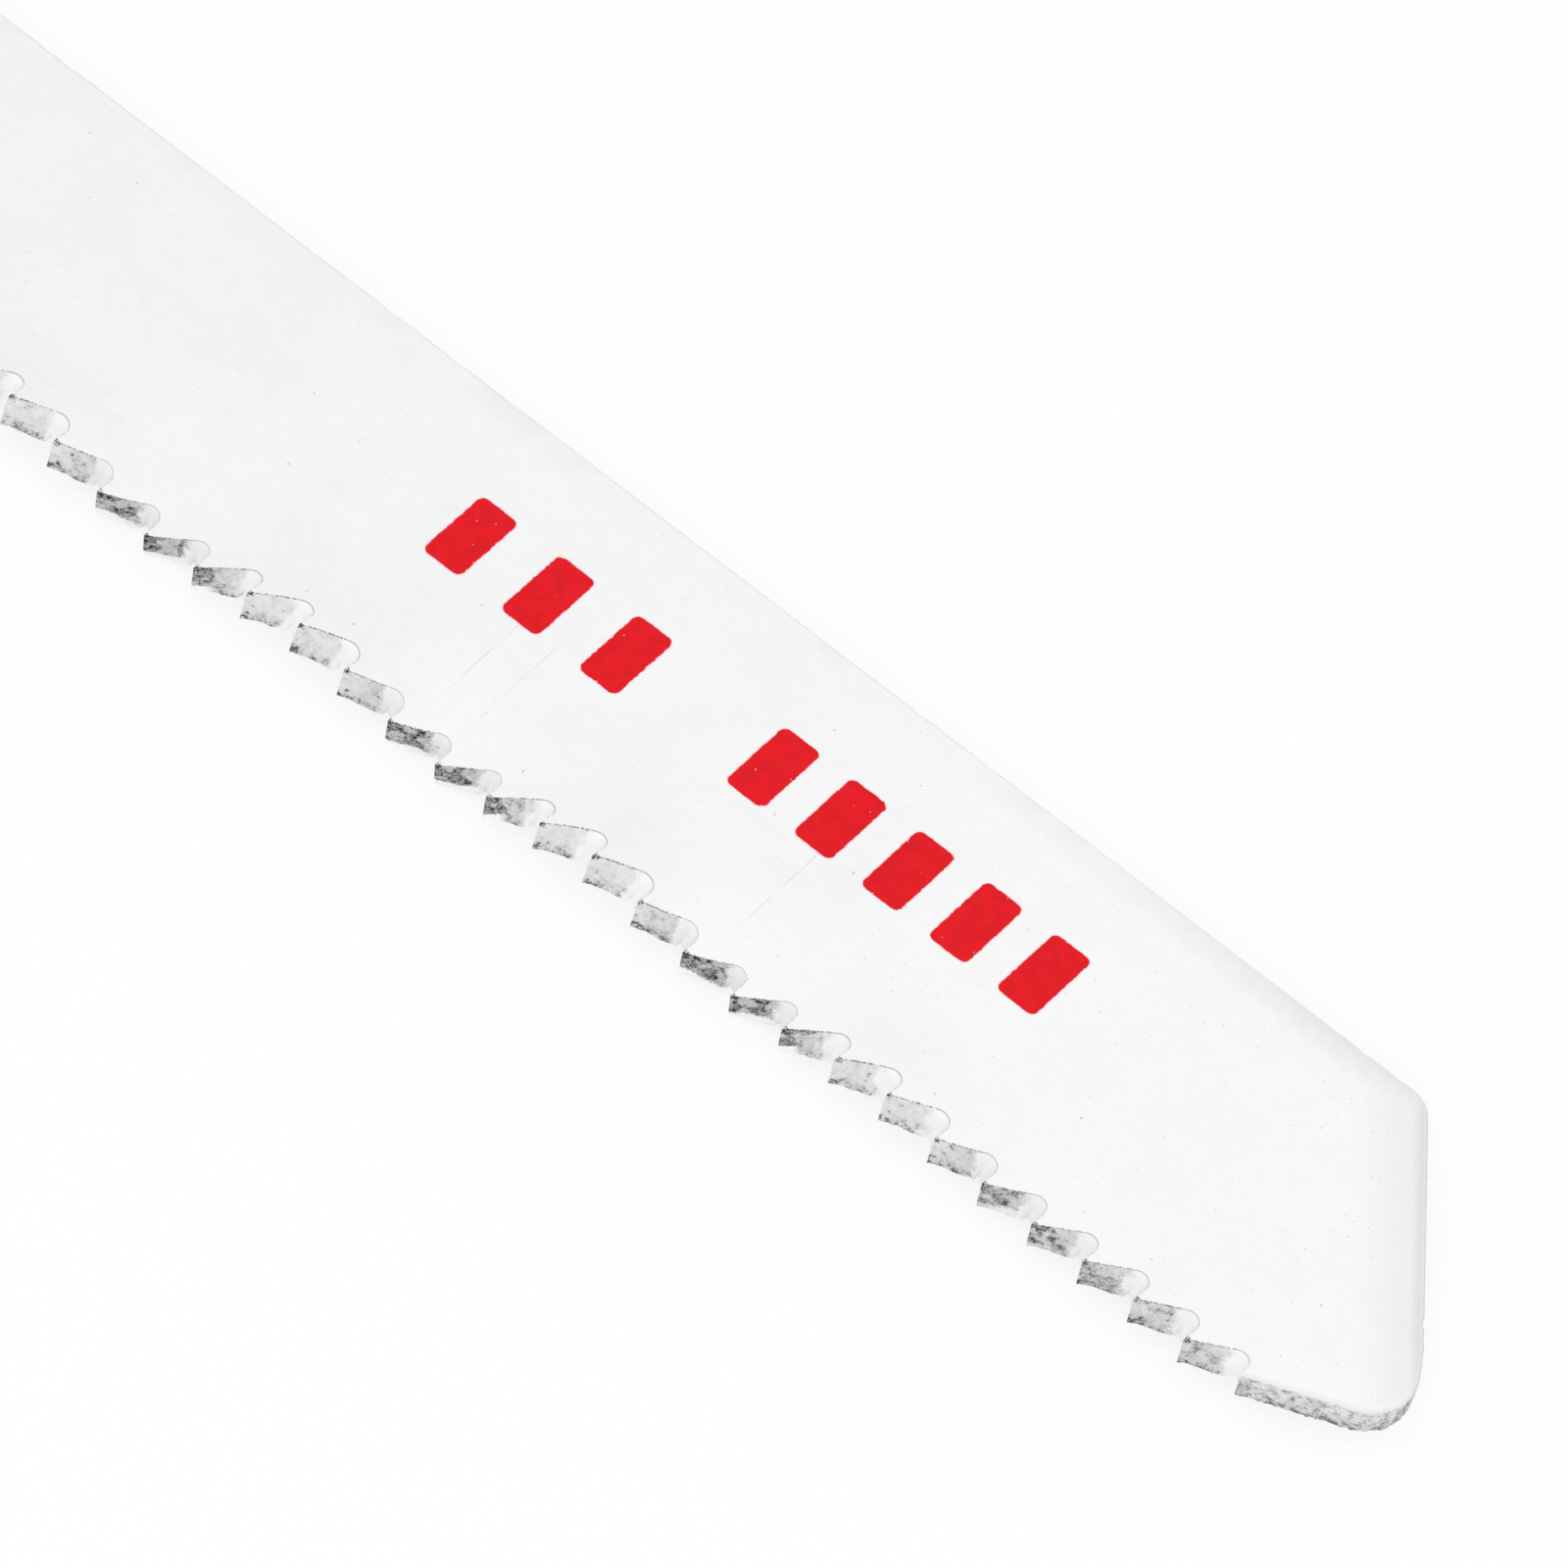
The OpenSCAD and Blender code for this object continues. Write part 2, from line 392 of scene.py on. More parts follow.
# %% Rings round the outline
ROLL_STEPS, WALL_ROWS, LOW_STEPS, LOW_ROLL = 6, 3, 3, 0.035
RING_COUNT = ROLL_STEPS + WALL_ROWS + LOW_STEPS + 1
TOOTH_TEAR, NOSE_TEAR, NICK = 0.02, 0.034, 0.03


def wobble(p, size, seed):
    """Smooth noise from about -1 to 1 that always comes out the same."""
    return noise.noise(Vector((p.x / size, p.y / size, seed)))


def ring_point(k, j):
    """(x, y, depth, side) of outline point k on ring j. side is 0 on the faces and 1 on the wall."""
    r = roll[k]
    if j <= ROLL_STEPS:
        a = math.pi / 2 * j / ROLL_STEPS
        inset, depth, side = r * (1 - math.sin(a)), r * (1 - math.cos(a)), math.sin(a)
    elif j < ROLL_STEPS + WALL_ROWS:
        share = (j - ROLL_STEPS) / WALL_ROWS
        inset, depth, side = 0.0, r + (THICKNESS - LOW_ROLL - r) * share, 1.0
    else:
        a = math.pi / 2 * (j - ROLL_STEPS - WALL_ROWS) / LOW_STEPS
        inset, side = LOW_ROLL * (1 - math.cos(a)), math.cos(a)
        depth = THICKNESS - LOW_ROLL * (1 - math.sin(a))
    p = outline[k]
    tear = TOOTH_TEAR if TEETH_FROM <= k < NOSE_FROM else NOSE_TEAR
    tear = ground[k] * (depth / THICKNESS) ** 6 * tear
    torn = tear * (1 + wobble(p, 0.06, 3.0) + 0.6 * wobble(p, 0.17, 5.0))
    nick = (1 - ground[k]) * NICK * smooth(wobble(p, 0.35, 7.0) * 3 - 0.9)
    if 0.2 < side and depth > THICKNESS / 2:
        depth += tear * 1.6 * wobble(p, 0.11, 9.0)
    off = (inset + torn) * spared[k] + nick - coat[k]
    p = p + inward[k] * off + web[k] * (depth / THICKNESS) ** 1.4
    return p.x, p.y, depth, side


rings = [[ring_point(k, j) for k in range(count)] for j in range(RING_COUNT)]
print("rings:", len(rings))

# %% [markdown]
# ## The two faces
#
# The faces need small triangles only where the strip bends. A constrained Delaunay triangulation
# takes the innermost ring as its border and a loose grid of points inside, denser in the bending
# band, and joins them without a single overlap. Filling the border with one big polygon would
# leave long slivers that can't bend.

# %% Points inside a face
BAND_ROWS, BAND_LOW_V, BAND_STEP_V, BAND_STEP_X = 16, 0.72, 0.15, 0.162
BODY_ROWS, BODY_LOW_Y, BODY_STEP_Y, BODY_STEP_X = 6, -0.6, 0.72, 1.1
BAND_START_X, BODY_START_X, BODY_END_X = ROW_X + 1.2, 12.5, TIP_X - 5.5


def inner_points():
    """Grid points inside a face: fine in the tooth row's band, coarse on the plain body."""
    out = []
    for row in range(BAND_ROWS):
        v = BAND_LOW_V + BAND_STEP_V * row
        for i in range(int((LEAD_X - BAND_START_X) / BAND_STEP_X)):
            x = BAND_START_X + BAND_STEP_X * (i + 0.5 * (row % 2))
            out.append(Vector((x, tooth_line(x) + v)))
    for row in range(BODY_ROWS):
        y = BODY_LOW_Y + BODY_STEP_Y * row
        # Each row stops short of the slanted end
        end_x = BODY_END_X - math.tan(END_SLANT) * (y - BODY_LOW_Y)
        for i in range(math.ceil((end_x - BODY_START_X) / BODY_STEP_X)):
            out.append(Vector((BODY_START_X + BODY_STEP_X * i, y)))
    return out


print("points inside a face:", len(inner_points()))

# %% Fill the faces
KEEP_INSIDE, SAME_POINT = 1, 1e-7


def fill(ring):
    """Triangles between a ring of (x, y) points, and all points used: the ring first."""
    border = [Vector(p[:2]) for p in ring]
    points = border + inner_points()
    edges = [(k, (k + 1) % count) for k in range(count)]
    made, _, faces, origins, _, _ = delaunay_2d_cdt(points, edges, [], KEEP_INSIDE, SAME_POINT)
    index = {i: o[0] for i, o in enumerate(origins) if o}
    print("places where the border crosses itself:", len(made) - len(index))
    return points, [[index[i] for i in f] for f in faces if all(i in index for i in f)]


top_points, top_faces = fill(rings[0])
low_points, low_faces = fill(rings[-1])
print("triangles:", len(top_faces), "above,", len(low_faces), "below")

# %% [markdown]
# ## One mesh for the whole blade
#
# All parts meet in one closed mesh. Three facts are stored on its points for the shader: where
# the point was on the flat blade, how far it lies on the side wall, and how far it was ground.
# The shader can then draw wear that follows the teeth, though they lean.

# %% Build the mesh
points, faces, flat, side_share, ground_share = [], [], [], [], []


def add_point(x, y, depth, side, was_ground):
    """Add one point with its three facts. The finest burrs stay inside the CAD box."""
    spot = place(x, y, depth)
    points.append(Vector(min(max(c, lo), hi) for c, lo, hi in zip(spot, cad_low, cad_high)))
    flat.append((x, y, depth))
    side_share.append(side)
    ground_share.append(was_ground)


for j, ring in enumerate(rings):
    for k, (x, y, depth, side) in enumerate(ring):
        add_point(x, y, depth, side, ground[k])
for j in range(RING_COUNT - 1):
    here, below = j * count, (j + 1) * count
    for k in range(count):
        after = (k + 1) % count
        faces.append((here + k, below + k, below + after, here + after))
for cap_points, cap_faces, first, depth in (
    (top_points, top_faces, 0, 0.0),
    (low_points, low_faces, (RING_COUNT - 1) * count, THICKNESS),
):
    start = len(points)
    for p in cap_points[count:]:
        add_point(p.x, p.y, depth, 0.0, 0.0)
    for f in cap_faces:
        ids = [first + i if i < count else start + i - count for i in f]
        a, b, c = (cap_points[i] for i in f)
        upward = (b - a).cross(c - a) > 0
        faces.append(ids if upward == (depth == 0.0) else ids[::-1])
print("faces of rings and both sides:", len(faces))

# %% Make the object
mesh = bpy.data.meshes.new("blade_steel")
mesh.from_pydata(points, [], faces)
for name, kind, values in (
    ("flat", "FLOAT_VECTOR", [c for p in flat for c in p]),
    ("side", "FLOAT", side_share),
    ("ground", "FLOAT", ground_share),
):
    layer = mesh.attributes.new(name, kind, "POINT")
    layer.data.foreach_set("vector" if kind == "FLOAT_VECTOR" else "value", values)
mesh.validate()
for polygon in mesh.polygons:
    polygon.use_smooth = True
mesh.set_sharp_from_angle(angle=math.radians(38))
blade = bpy.data.objects.new("blade_steel", mesh)
bpy.context.scene.collection.objects.link(blade)
weighted = blade.modifiers.new("flat_faces_stay_flat", "WEIGHTED_NORMAL")
weighted.keep_sharp = True
print("blade mesh:", len(mesh.vertices), "points,", len(mesh.polygons), "faces")

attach(blade, "root")
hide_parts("blade")

# %% [markdown]
# ## Shader maths as Python
#
# A material with wear needs a lot of small sums, and wiring them by hand hides what they say. The
# class below wraps one socket. Its operators add Math nodes, so a mask can be written as
# `1 - mask`, and one method makes any other node.

# %% A wire
class Wire:
    """One output socket of the material that is being written."""

    tree = None

    def __init__(self, socket):
        self.socket = socket

    @classmethod
    def node(cls, kind, settings=None, inputs=None, out=0):
        """A new node: its settings are set first, then the values or links of its sockets."""
        made = cls.tree.nodes.new(kind)
        for name, value in (settings or {}).items():
            if name == "stops":
                ramp = made.color_ramp
                while len(ramp.elements) < len(value):
                    ramp.elements.new(0.5)
                for element, (position, colour) in zip(ramp.elements, value):
                    element.position, element.color = position, colour
            else:
                setattr(made, name, value)
        for name, value in (inputs or {}).items():
            if isinstance(value, Wire):
                cls.tree.links.new(value.socket, made.inputs[name])
            else:
                made.inputs[name].default_value = value
        return cls(made.outputs[out])

    def sum(self, operation, *others):
        """A Math node on this value and the others."""
        return Wire.node("ShaderNodeMath", {"operation": operation}, dict(enumerate((self, *others))))

    def __add__(self, other):
        return self.sum("ADD", other)

    __radd__ = __add__

    def __mul__(self, other):
        return self.sum("MULTIPLY", other)

    __rmul__ = __mul__

    def __sub__(self, other):
        return self.sum("SUBTRACT", other)

    def __rsub__(self, other):
        return Wire.node("ShaderNodeMath", {"operation": "SUBTRACT"}, {0: other, 1: self})

    def __truediv__(self, other):
        return self.sum("DIVIDE", other)

    def __rtruediv__(self, other):
        return Wire.node("ShaderNodeMath", {"operation": "DIVIDE"}, {0: other, 1: self})

    def __pow__(self, other):
        return self.sum("POWER", other)

    def __mod__(self, other):
        return self.sum("FLOORED_MODULO", other)

    def __abs__(self):
        return self.sum("ABSOLUTE")

    def most(self, other):
        return self.sum("MAXIMUM", other)

    def least(self, other):
        return self.sum("MINIMUM", other)

    def output(self, name):
        """Another output of the same node."""
        return Wire(self.socket.node.outputs[name])


def count_nodes(what):
    """Say how many nodes the material has after a step."""
    print(what + ":", len(Wire.tree.nodes), "nodes so far")


print("reflected operators:", [name for name in vars(Wire) if name.startswith("__r")])

# %% Helpers for masks, noise and colours
def fade(value, start, end):
    """0 at start and 1 at end, with a soft step between. start may be the larger one."""
    settings = {"interpolation_type": "SMOOTHSTEP", "clamp": True}
    if start > end:
        return 1 - Wire.node("ShaderNodeMapRange", settings, {0: value, 1: end, 2: start})
    return Wire.node("ShaderNodeMapRange", settings, {0: value, 1: start, 2: end})


def grain(where, size, detail=3.0, roughness=0.55):
    """Noise with features of about that size in millimetres, from 0 to 1 around 0.5."""
    return Wire.node(
        "ShaderNodeTexNoise",
        None,
        {"Vector": where, "Scale": 1 / size, "Detail": detail, "Roughness": roughness},
    )


def stretched(where, scale, turn=0.0):
    """The same place with its axes scaled and turned, for streaks and scratches."""
    return Wire.node(
        "ShaderNodeMapping",
        {"vector_type": "POINT"},
        {"Vector": where, "Rotation": (0.0, 0.0, turn), "Scale": scale},
    )


def specks(where, cell, radius, share):
    """Specks of mixed sizes around that radius in millimetres, in a share of the cells."""
    flat_cells = {"voronoi_dimensions": "2D"}
    near = Wire.node("ShaderNodeTexVoronoi", flat_cells, {"Vector": where, "Scale": 1 / cell})
    lot = Wire.node("ShaderNodeSeparateColor", None, {0: near.output("Color")})
    reach = near * cell / (0.45 + lot.output("Green"))
    return fade(reach, radius, radius * 0.45) * fade(lot, 1 - share, 1 - share + 0.01)


def cracks(where, size, width):
    """Thin winding lines, where a noise crosses its middle value."""
    return fade(abs(grain(where, size, 2.0, 0.5) - 0.5), width, width * 0.35)


def blend(mask, colour_a, colour_b):
    """colour_a where the mask is 0 and colour_b where it is 1."""
    return Wire.node("ShaderNodeMix", {"data_type": "RGBA"}, {0: mask, 6: colour_a, 7: colour_b}, 2)


def grey(value, tint=1.0):
    """A grey, with a little more or less blue where tint isn't 1."""
    return (value, value, value * tint, 1.0)


def vector_sum(operation, *values):
    """A Vector Math node on these places."""
    return Wire.node("ShaderNodeVectorMath", {"operation": operation}, dict(enumerate(values)))


def stored(name, output):
    """A fact that is stored on the points of the mesh."""
    return Wire.node("ShaderNodeAttribute", {"attribute_name": name}, None, output)


print("a middle grey is", grey(0.5))

# %% [markdown]
# ## The white coat, the print and the worn edges
#
# The coat is a semi-gloss white lacquer with a very fine orange peel. One material does the whole
# blade, because coat and bare steel meet in ragged borders that two material slots can't draw. It
# reads the stored flat place, so its patterns follow each leaning tooth. A few noises are made
# once and shared by all masks, which keeps the render quick.

# %% Start the material
steel = bpy.data.materials.new("white_coated_steel")
steel.use_nodes = True
steel.node_tree.nodes.clear()
Wire.tree = steel.node_tree

at = stored("flat", "Vector")
side = stored("side", "Fac")
was_ground = stored("ground", "Fac")
x = Wire.node("ShaderNodeSeparateXYZ", None, {0: at}, "X")
y, depth = x.output("Y"), x.output("Z")
tooth_u = (x - ROW_X) % PITCH
tooth_v = y - (tooth_line(0.0) - x * SPREAD)
in_row = fade(x, ROW_X - 0.02, ROW_X) * fade(x, LEAD_X + 0.02, LEAD_X)

fine = grain(at, 0.06, 3.0, 0.6)
middle = grain(at, 0.15, 3.0, 0.6)
wide = grain(at, 0.34, 2.0, 0.5)
broad = grain(at, 2.2, 3.0, 0.55)
ragged = fine - 0.5
shake = vector_sum("SUBTRACT", middle.output("Color"), (0.5, 0.5, 0.5))
shaken = vector_sum("MULTIPLY_ADD", shake, (0.09, 0.09, 0.0), at)
count_nodes("places and noises")

# %% [markdown]
# ### The red print
#
# The print is ink on the lacquer and has no thickness worth modelling, so it is drawn by the
# shader. Plain upright bars are drawn as a signed distance: negative inside, positive outside.
# The same distance then gives round corners, ragged sides and a faint pink fringe.

# %% Red bars
BAR_WIDTH, BAR_ROUND = 0.98, 0.17
PRINT_LOW, PRINT_HIGH = -0.41, 1.53
THREE_BARS, FIVE_BARS = (53.45, 58.54, 3), (61.43, 69.47, 5)
INK, THIN_INK = (0.69, 0.0, 0.005, 1.0), (0.80, 0.0, 0.008, 1.0)
INK_SPECKS, INK_FRINGE = (0.80, 0.14, 0.20, 1.0), (0.86, 0.20, 0.42, 1.0)
RAGGED_SIDE = 0.07
second_noise = Wire.node("ShaderNodeRGBToBW", None, {0: middle.output("Color")})
ink_x = x + (middle - 0.5) * RAGGED_SIDE
ink_y = abs(y + (second_noise - 0.5) * RAGGED_SIDE - (PRINT_LOW + PRINT_HIGH) / 2)


def bars(first, last, how_many):
    """A group of upright bars between two places along the blade, as a signed distance in mm."""
    step = (last - first - BAR_WIDTH) / (how_many - 1)
    start = first + BAR_WIDTH / 2
    along = abs((ink_x - start + step / 2) % step - step / 2)
    along = along.most((start - ink_x).most(ink_x - (last - BAR_WIDTH / 2)))
    dx = (along - (BAR_WIDTH / 2 - BAR_ROUND)).most(0.0)
    dy = (ink_y - ((PRINT_HIGH - PRINT_LOW) / 2 - BAR_ROUND)).most(0.0)
    return (dx * dx + dy * dy) ** 0.5 - BAR_ROUND


shape = bars(*THREE_BARS).least(bars(*FIVE_BARS)) + ragged * 0.03
printed_face = fade(depth, 0.03, 0.01) * (1 - side)
pinholes = specks(shaken, 0.33, 0.016, 0.14)
ink = fade(shape, 0.012, -0.012) * (1 - pinholes * 0.75) * printed_face
fringe = fade(shape, 0.040, 0.0) * printed_face * 0.30
thin_ink = fade(wide * 0.6 + fine * 0.4, 0.40, 0.62)
count_nodes("red bars")

# %% Drag lines and tiny specks of ink
wander = x + (broad - 0.5) * 0.10
broken = fade(grain(stretched(at, (2.0, 0.6, 1.0)), 0.3, 1.0), 0.36, 0.52)


def drag_line(line_x, length, strength):
    """A faint hairline from a bar's lower end towards the teeth."""
    on_line = fade(abs(wander - line_x), 0.024, 0.006)
    return on_line * fade(y, PRINT_LOW - length, PRINT_LOW - length * 0.4) * strength


drags = drag_line(56.05, 3.0, 0.30).most(drag_line(56.95, 3.5, 0.24))
drags = drags.most(drag_line(63.9, 3.4, 0.28))
drags = drags * broken * fade(y, PRINT_LOW + 0.1, PRINT_LOW) * printed_face
pink = specks(shaken, 2.4, 0.035, 0.16) * 0.40 * printed_face
count_nodes("drag lines and specks")

# %% [markdown]
# ### Ground teeth
#
# The teeth were ground after coating, so their clearance faces are bare, and the gullets are still
# white. Teeth that lean away from the print side are darker and carry black burnt clumps, while
# their lower rim kept some coat. Teeth that lean towards it are pale with a peppered lower edge.

# %% Where the steel is bare
LEAN_TURN = 2 * math.pi / (TEETH_PER_WAVE * PITCH)
lean_share = ((LAST_TIP_X - x) * LEAN_TURN).sum("COSINE") * fade(x, LAST_TIP_X, LAST_TIP_X - TIP_FADE)
away = fade(lean_share, 0.45, -0.55)
tooth_tone = grain(stretched(at, (1.0, 0.0, 0.0)), 1.1, 1.0) - 0.5
flank_u = tooth_u + ragged * 0.20 + tooth_tone * 0.30 + (wide - 0.5) * 0.45
flank = in_row * fade(flank_u, 0.90, 0.70)
nose_edge = 1 - in_row * was_ground
plain_edge = nose_edge * fade(was_ground + ragged * 0.3, 0.35, 0.65)
plain_edge = plain_edge * fade(depth + ragged * 0.12, 0.11, 0.20)
coated_rim = fade(depth + ragged * 0.25 + tooth_tone * 0.8, THICKNESS - 0.22, THICKNESS - 0.14)
coated_rim = coated_rim * fade(away, 0.55, 0.85) * in_row
bare = flank.most(plain_edge) * was_ground * fade(side + ragged * 0.12, 0.80, 0.93)
bare = bare * (1 - coated_rim)
count_nodes("bare steel")

# %% How dark the steel is
PALE_STEEL, DARK_STEEL, BLACK_SOOT = grey(0.84), grey(0.26), grey(0.012, 1.1)
low_edge = fade(depth, THICKNESS * 0.40, THICKNESS)
streaks = grain(stretched(at, (1.0, 1.0, 0.6)), 0.035, 3.0, 0.7)
winding = cracks(at, 0.10, 0.060)
by_the_tip = fade(tooth_u, 0.75, 0.05)
crowding = 0.14 * away + 0.05 * by_the_tip + 0.03 * fade(x, 58.0, 70.0) * away
clump = fade(wide + crowding, 0.60, 0.68)
black = winding.most(fade(middle, 0.58, 0.63)) * clump * (0.12 + 0.88 * away)
pepper = fade(streaks * 0.6 + middle * 0.5 + 0.09 * low_edge, 0.63, 0.70)
pepper = pepper * (0.06 + 0.74 * low_edge * low_edge)
corner_soot = fade(middle + 0.20 * low_edge * fade(tooth_u, 0.45, 0.0), 0.64, 0.72) * 0.8 * in_row
nose_marks = cracks(stretched(at, (0.5, 0.5, 1.1)), 0.085, 0.045)
nose_marks = nose_marks * fade(middle, 0.50, 0.57) * nose_edge * 0.75
soot = black.most(pepper).most(corner_soot).most(nose_marks)
tone = 0.19 + 0.33 * away - 0.07 * nose_edge
tone = tone + (streaks - 0.5) * (0.45 + 0.45 * away) + (middle - 0.5) * 0.8
tone = tone + low_edge * (0.22 - 0.12 * away) - 0.10 * fade(tooth_u, 0.45, 0.80) * in_row
steel_colour = blend(fade(tone + clump * away * 0.25, -0.1, 1.1), PALE_STEEL, DARK_STEEL)
steel_colour = blend(soot, steel_colour, BLACK_SOOT)
count_nodes("steel colour")

# %% Dark line on the tooth edges, black burrs at the tips
edge_line = in_row * was_ground * fade(side, 0.05, 0.40) * fade(depth, 0.032, 0.018)
on_flank = fade(tooth_u, 0.95, 0.80)
edge_line = edge_line * (0.50 + 0.40 * on_flank * fade(fine, 0.50, 0.58)) * (1 - 0.30 * away)
edge_line = edge_line * (1 - 0.75 * on_flank * fade(fine, 0.50, 0.42))
to_tip = (tooth_u * tooth_u + (tooth_v * 1.6) * (tooth_v * 1.6)) ** 0.5
tip_burr = in_row * fade(to_tip + ragged * 0.30 - tooth_tone * 0.20, 0.18, 0.12)
tip_burr = tip_burr * fade(depth + ragged * 0.14, 0.14, 0.09)
tip_burr = tip_burr * (0.12 + 0.88 * fade(streaks, 0.46, 0.55))
count_nodes("edges and burrs")

# %% [markdown]
# ### The coat's colour, with painted shade
#
# A white that is one flat colour looks like paper. This coat is a little darker towards the shank,
# as painted shade, and has faint lines left by the sheet's rolling. Painted shade also greys the
# rolled edges and a band along the slanted end and the back edge. Dust specks and a few hairlines
# across the blade finish it.

# %% White coat
sheet_lines = grain(stretched(at, (0.12, 3.0, 1.0)), 0.35, 2.0)
mottle = broad * 0.5 + wide * 0.3 + sheet_lines * 0.2
# Painted shade: the white coat is a little darker towards the shank and lighter towards the nose.
painted_shade_ramp = fade(x, 40.0, 78.0)
pale = blend(painted_shade_ramp, grey(0.895, 1.004), grey(0.930))
dull = blend(painted_shade_ramp, grey(0.862, 1.006), grey(0.906))
coat_colour = blend(fade(mottle + ragged * 0.30, 0.36, 0.60), dull, pale)
# Painted light: the coated walls of the tooth gaps are painted whiter than the coat, to lift the
# shade in the gaps.
coat_colour = blend(fade(side, 0.3, 0.9) * in_row * was_ground, coat_colour, grey(0.965))
count_nodes("plain coat")

# %% Dust, hairlines and painted shade at the edges
dust = specks(shaken, 0.50, 0.013, 0.28).most(specks(shaken, 1.5, 0.026, 0.26))
slim_dust = specks(stretched(shaken, (0.55, 1.0, 1.0), 0.6), 0.27, 0.012, 0.16)
dust = dust.most(slim_dust * fade(x, 56.0, 70.0))
hairs = grain(stretched(at, (9.0, 0.32, 1.0), 0.12), 0.30, 2.0, 0.5)
scratch = fade(hairs, 0.69, 0.76) * fade(broad, 0.46, 0.60)

slant, rise = math.cos(END_SLANT), math.sin(END_SLANT)
from_end = (back_tip.x * slant + back_tip.y * rise) - (x * slant + y * rise)
# Painted shade: grey bands on the face along the slanted end and along the back edge, mostly near the
# nose, darkest at the edge.
end_edge_shade = fade(from_end + ragged * 0.5, 1.5, 0.3) * 0.12
end_edge_shade = end_edge_shade + fade(from_end + ragged * 0.2, 0.30, 0.0) * 0.22
from_back = BACK_Y - y
back_edge_shade = fade(from_back + ragged * 0.3, 0.75, 0.30) * 0.13
back_edge_shade = back_edge_shade + fade(from_back + ragged * 0.2, 0.35, 0.0) * 0.10
back_edge_shade = back_edge_shade * fade(x, 64.0, 76.0).most(fade(broad, 0.50, 0.66) * 0.5)
# Painted shade: the rolled edges are painted greyer, with a darker grainy rim on the side wall.
rolled = fade(side, 0.02, 0.80) * nose_edge
rim = 0.14 + 0.20 * fade(middle, 0.45, 0.65) + 0.40 * fade(fine, 0.52, 0.60)
rim = rim * fade(side, 0.25, 0.85) * nose_edge * (1 - was_ground)
# Dust, hairlines and drag lines are real marks. The rolled edges, the rim and the bands along the end
# and the back edge are painted shade.
wear_and_edge_shade = (dust * 0.60).most(scratch * 0.20).most(rolled * 0.13).most(rim)
wear_and_edge_shade = wear_and_edge_shade.most(end_edge_shade.most(back_edge_shade) * printed_face.most(rolled)).most(drags * 0.5)
count_nodes("wear of the coat")

# %% Lay wear, painted edge shade and print on the coat
# One grey draws the real dust and the painted shade at the edges.
DIRT_AND_EDGE_SHADE, EDGE_BLACK, BURR_BLACK = grey(0.34), grey(0.06), grey(0.015)
coat_colour = blend(wear_and_edge_shade, coat_colour, DIRT_AND_EDGE_SHADE)
coat_colour = blend(pink.most(drags * 0.35), coat_colour, INK_SPECKS)
coat_colour = blend(fringe, coat_colour, INK_FRINGE)
coat_colour = blend(ink, coat_colour, blend(thin_ink, THIN_INK, INK))
count_nodes("coat with print")

# %% Put the surface together
colour = blend(bare, coat_colour, steel_colour)
colour = blend(edge_line, colour, EDGE_BLACK)
colour = blend(tip_burr, colour, BURR_BLACK)
peel = middle * 0.35 + fine * 0.12
rough_steel = middle * 0.9 + streaks * 0.9 - soot * 0.5
height = peel * (1 - bare) + rough_steel * bare - scratch * 0.3 + ink * 0.25
relief = {"Strength": 0.30, "Distance": 0.02 * MM, "Height": height}
bump = Wire.node("ShaderNodeBump", None, relief, "Normal")
surface = Wire.node(
    "ShaderNodeBsdfPrincipled",
    None,
    {
        "Base Color": colour,
        "Roughness": 0.36 + 0.08 * mottle + 0.22 * bare - 0.06 * ink,
        "Metallic": bare * (1 - soot) * 0.35,
        "Normal": bump,
        "IOR": 1.45,
        "Specular IOR Level": 0.2,
    },
)
output = steel.node_tree.nodes.new("ShaderNodeOutputMaterial")
steel.node_tree.links.new(surface.socket, output.inputs["Surface"])
blade.data.materials.append(steel)
kinds = [n.bl_idname for n in Wire.tree.nodes]
print("whole material: nodes", len(kinds), "noises", kinds.count("ShaderNodeTexNoise"))

# %% [markdown]
# ## Floor and light
#
# The blade lies on a plain white table. A lit white floor always comes out a little grey, and
# more light would burn out the white blade. So the camera sees the floor partly as plain white
# and partly as lit, which keeps the shadow under the blade.

# %% Floor
TABLE_HALF, SEEN_WHITE = 3.0, 0.80
floor_z = cad_low.z - 0.01 * MM
floor_mesh = bpy.data.meshes.new("table_top")
ends = ((-1, -1), (1, -1), (1, 1), (-1, 1))
floor_corners = [(TABLE_HALF * sx, TABLE_HALF * sy, floor_z) for sx, sy in ends]
floor_mesh.from_pydata(floor_corners, [], [(0, 1, 2, 3)])
table_top = bpy.data.objects.new("table_top", floor_mesh)
bpy.context.scene.collection.objects.link(table_top)

paper = bpy.data.materials.new("white_table")
paper.use_nodes = True
paper.node_tree.nodes.clear()
Wire.tree = paper.node_tree
seen = Wire.node("ShaderNodeLightPath", None, None, "Is Camera Ray")
seen = seen.most(seen.output("Is Glossy Ray")).most(seen.output("Is Transmission Ray"))
lit = Wire.node("ShaderNodeBsdfDiffuse", None, {"Color": grey(0.97)})
plain = Wire.node("ShaderNodeEmission", None, {"Color": grey(1.0), "Strength": 1.0})
paper_surface = Wire.node("ShaderNodeMixShader", None, {0: seen * SEEN_WHITE, 1: lit, 2: plain})
paper_output = paper.node_tree.nodes.new("ShaderNodeOutputMaterial")
paper.node_tree.links.new(paper_surface.socket, paper_output.inputs["Surface"])
floor_mesh.materials.append(paper)
print("floor at", round(floor_z / MM, 4), "mm")

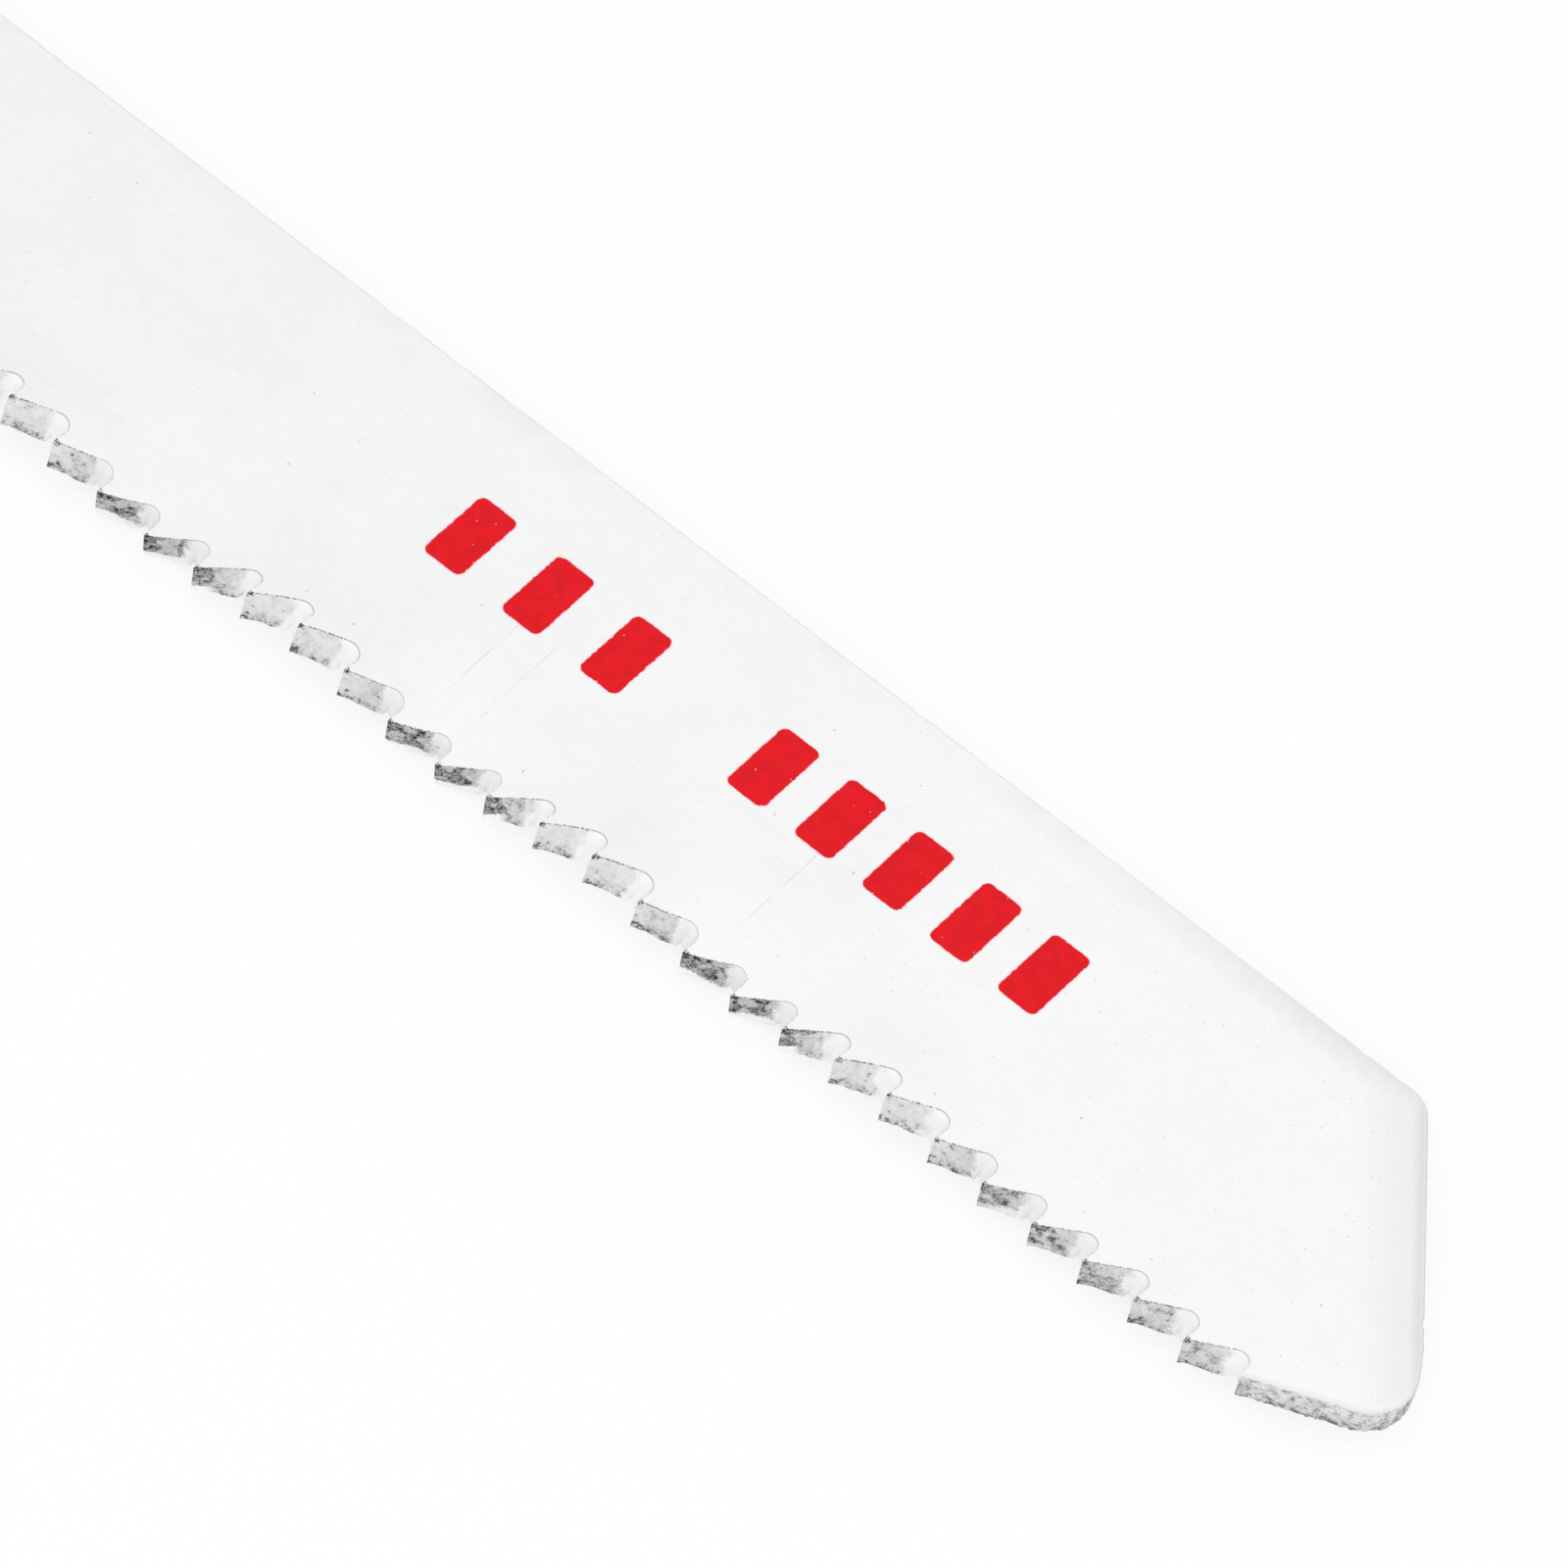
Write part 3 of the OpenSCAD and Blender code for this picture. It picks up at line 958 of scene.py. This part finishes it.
# %% World
ROOM_LIGHT = 0.79
scene = bpy.context.scene
world = bpy.data.worlds.new("white_room")
scene.world = world
world.use_nodes = True
world.node_tree.nodes.clear()
Wire.tree = world.node_tree
ray = Wire.node("ShaderNodeLightPath", None, None, "Is Camera Ray")
ray = ray.most(ray.output("Is Glossy Ray")).most(ray.output("Is Transmission Ray"))
room = Wire.node("ShaderNodeBackground", None, {"Color": grey(1.0), "Strength": ROOM_LIGHT})
white = Wire.node("ShaderNodeBackground", None, {"Color": grey(1.0), "Strength": 1.0})
both = Wire.node("ShaderNodeMixShader", None, {0: ray, 1: room, 2: white})
world_output = world.node_tree.nodes.new("ShaderNodeOutputWorld")
world.node_tree.links.new(both.socket, world_output.inputs["Surface"])
count_nodes("white room")

# %% Lamps
def softbox(name, place_at, aim, size, power):
    """A square area lamp that faces aim."""
    data = bpy.data.lights.new(name, "AREA")
    data.shape, data.size, data.energy = "SQUARE", size, power
    lamp = bpy.data.objects.new(name, data)
    lamp.location = place_at
    lamp.rotation_euler = (Vector(aim) - Vector(place_at)).to_track_quat("-Z", "Y").to_euler()
    scene.collection.objects.link(lamp)


softbox("softbox_over", (0.02, 0.10, 0.70), (0.04, 0, 0), 0.6, 0.8)
softbox("softbox_front", (0.30, -0.60, 0.45), (0.05, 0, 0), 0.4, 1.1)

# %% [markdown]
# ## Camera
#
# The picture was taken with a long lens from above and in front of the teeth, and it is tilted so
# that the blade runs down to the right. The camera is placed by its direction round the blade,
# its height, its tilt and its distance from a point on the printed face.

# %% Camera
AZIMUTH, ELEVATION, TILT = 26.46, 52.75, 15.8
AIM = Vector((0.06233, 0.000405, 0.000846))
DISTANCE, LENS = 0.35285, 404.3

az, el, tilt = (math.radians(v) for v in (AZIMUTH, ELEVATION, TILT))
back = Vector((math.sin(az) * math.cos(el), -math.cos(az) * math.cos(el), math.sin(el)))
level = Vector((math.cos(az), math.sin(az), 0))
right = level * math.cos(tilt) + back.cross(level) * math.sin(tilt)
turn = Matrix((right, back.cross(right), back)).transposed()
camera_data = bpy.data.cameras.new("camera")
camera_data.lens, camera_data.sensor_width = LENS, 36.0
camera_data.clip_start, camera_data.clip_end = 0.01, 10.0
camera = bpy.data.objects.new("camera", camera_data)
camera.matrix_world = Matrix.Translation(AIM + back * DISTANCE) @ turn.to_4x4()
scene.collection.objects.link(camera)
scene.camera = camera
scene.view_settings.view_transform = "Standard"
print("camera at", [round(c / MM, 2) for c in camera.location])
